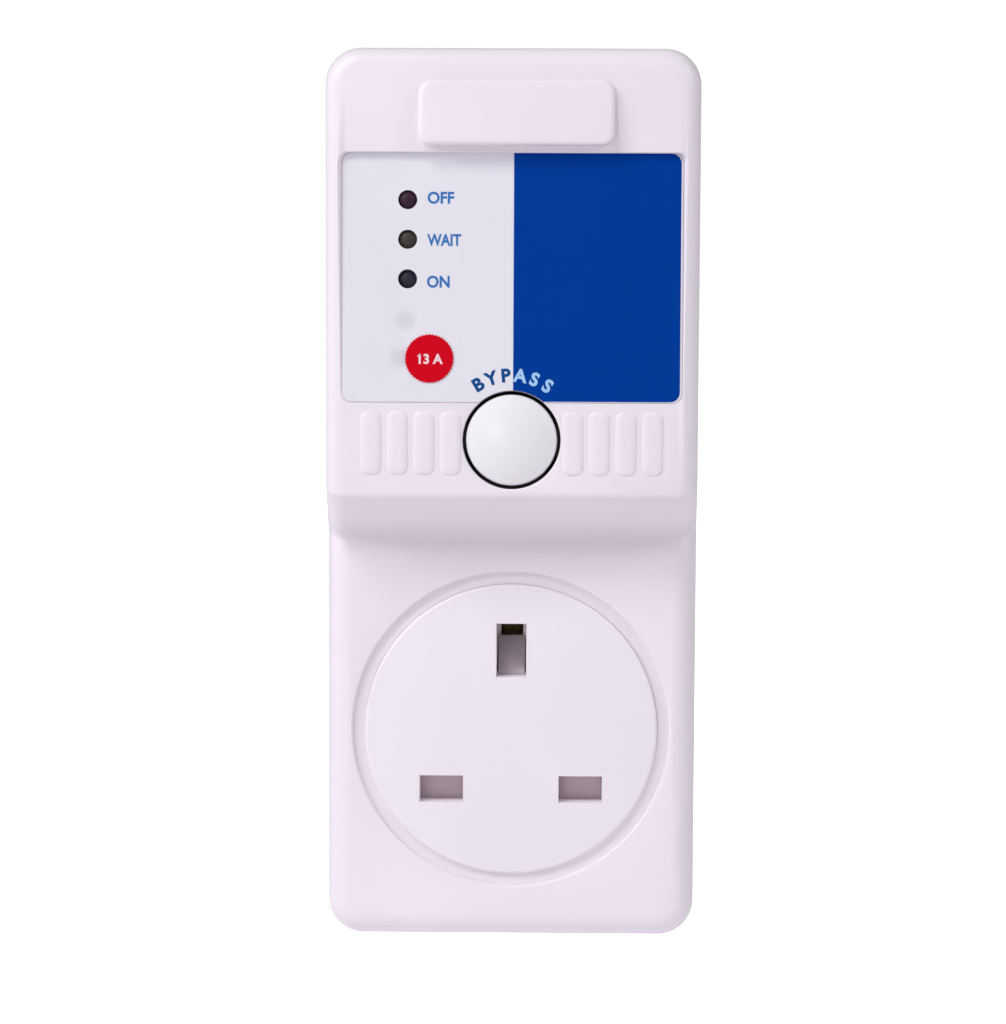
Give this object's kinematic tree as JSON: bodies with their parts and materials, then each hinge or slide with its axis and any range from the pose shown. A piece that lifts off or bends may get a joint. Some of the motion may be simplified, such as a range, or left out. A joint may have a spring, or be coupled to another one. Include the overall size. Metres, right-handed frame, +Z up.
{
  "type": "appliance voltage protector",
  "caption": "Plug-through appliance voltage protector with three-pin plug, shuttered three-pin socket, indicator lamps and a bypass button.",
  "frame": {"origin": "on the wall face, on the axis of the socket", "axes": "-Y is the front that carries the socket, +Y goes into the wall socket, +Z is up, +X is to the right as seen from the front"},
  "size_m": [0.06, 0.0676, 0.1427],
  "materials": {
    "case_white": "satin moulded white, faint lilac",
    "face_white": "satin moulded white",
    "inner_white": "plain moulded off-white",
    "label_white": "printed film, smooth",
    "print_blue": "deep blue ink, smooth",
    "sticker_red": "red paper sticker",
    "lamp_red": "unlit dark red lens",
    "lamp_amber": "unlit dark amber lens",
    "lamp_green": "unlit dark green lens",
    "black_plastic": "plain black",
    "board_green": "solder mask green",
    "core_iron": "stacked laminations",
    "copper_wire": "enamelled copper",
    "steel": "bright zinc-plated steel",
    "brass": "plain brass",
    "relay_blue": "blue moulded",
    "film_yellow": "yellow moulded",
    "resistor_tan": "tan lacquer",
    "wire_brown": "brown insulation",
    "wire_blue": "blue insulation"
  },
  "bodies": {
    "case": {"front_shell": "case_white", "rear_shell": "case_white", "socket_faceplate": "face_white", "front_label": "label_white", "label_print": "print_blue", "rating_sticker": "sticker_red", "button_spring": "steel", "push_switch_body": "black_plastic", "led_off": "lamp_red", "led_wait": "lamp_amber", "led_on": "lamp_green", "led_spacers": "inner_white", "led_leads": "steel", "circuit_board": "board_green", "pcb_screws": "steel", "transformer_core": "core_iron", "transformer_bobbin": "black_plastic", "transformer_winding": "copper_wire", "relay_base": "relay_blue", "relay_cover": "relay_blue", "relay_coil": "copper_wire", "relay_yoke": "steel", "relay_contact_post": "brass", "smoothing_capacitor": "relay_blue", "timing_capacitor": "black_plastic", "film_capacitor": "film_yellow", "varistor": "relay_blue", "chip_socket": "black_plastic", "controller_chip": "black_plastic", "transistors": "black_plastic", "diodes": "black_plastic", "resistors": "resistor_tan", "line_pin": "brass", "neutral_pin": "brass", "earth_pin": "brass", "line_pin_sleeve": "black_plastic", "neutral_pin_sleeve": "black_plastic", "pin_clamp_plate": "inner_white", "clamp_screws": "steel", "contact_carrier": "inner_white", "carrier_cover": "inner_white", "carrier_screws": "steel", "line_contact": "brass", "neutral_contact": "brass", "earth_contact": "brass", "earth_strap": "brass", "neutral_strap": "brass", "shutter_spring": "steel", "case_screws": "steel", "line_in_wire": "wire_brown", "line_out_wire": "wire_brown", "neutral_wire": "wire_blue"},
    "button": {"bypass_button": "face_white", "switch_plunger": "black_plastic"},
    "shutter": {"shutter": "inner_white"},
    "armature": {"relay_armature": "steel"}
  },
  "joints": [
    {"name": "button_press", "type": "slide", "parent": "case", "child": "button", "axis": [0, 1, 0], "range_m": [0, 0.002], "stiffness_N_per_m": 400, "springref_m": -0.0015, "deforming": ["button_spring"]},
    {"name": "shutter_slide", "type": "slide", "parent": "case", "child": "shutter", "axis": [0, 0, -1], "range_m": [0, 0.0054], "stiffness_N_per_m": 150, "springref_m": -0.003, "deforming": ["shutter_spring"]},
    {"name": "armature_tip", "type": "hinge", "parent": "case", "child": "armature", "pos_m": [0.0145, -0.0183, 0.045], "axis": [1, 0, 0], "range_deg": [0, 4], "stiffness_Nm_per_rad": 0.01, "springref_deg": -5.73}
  ]
}
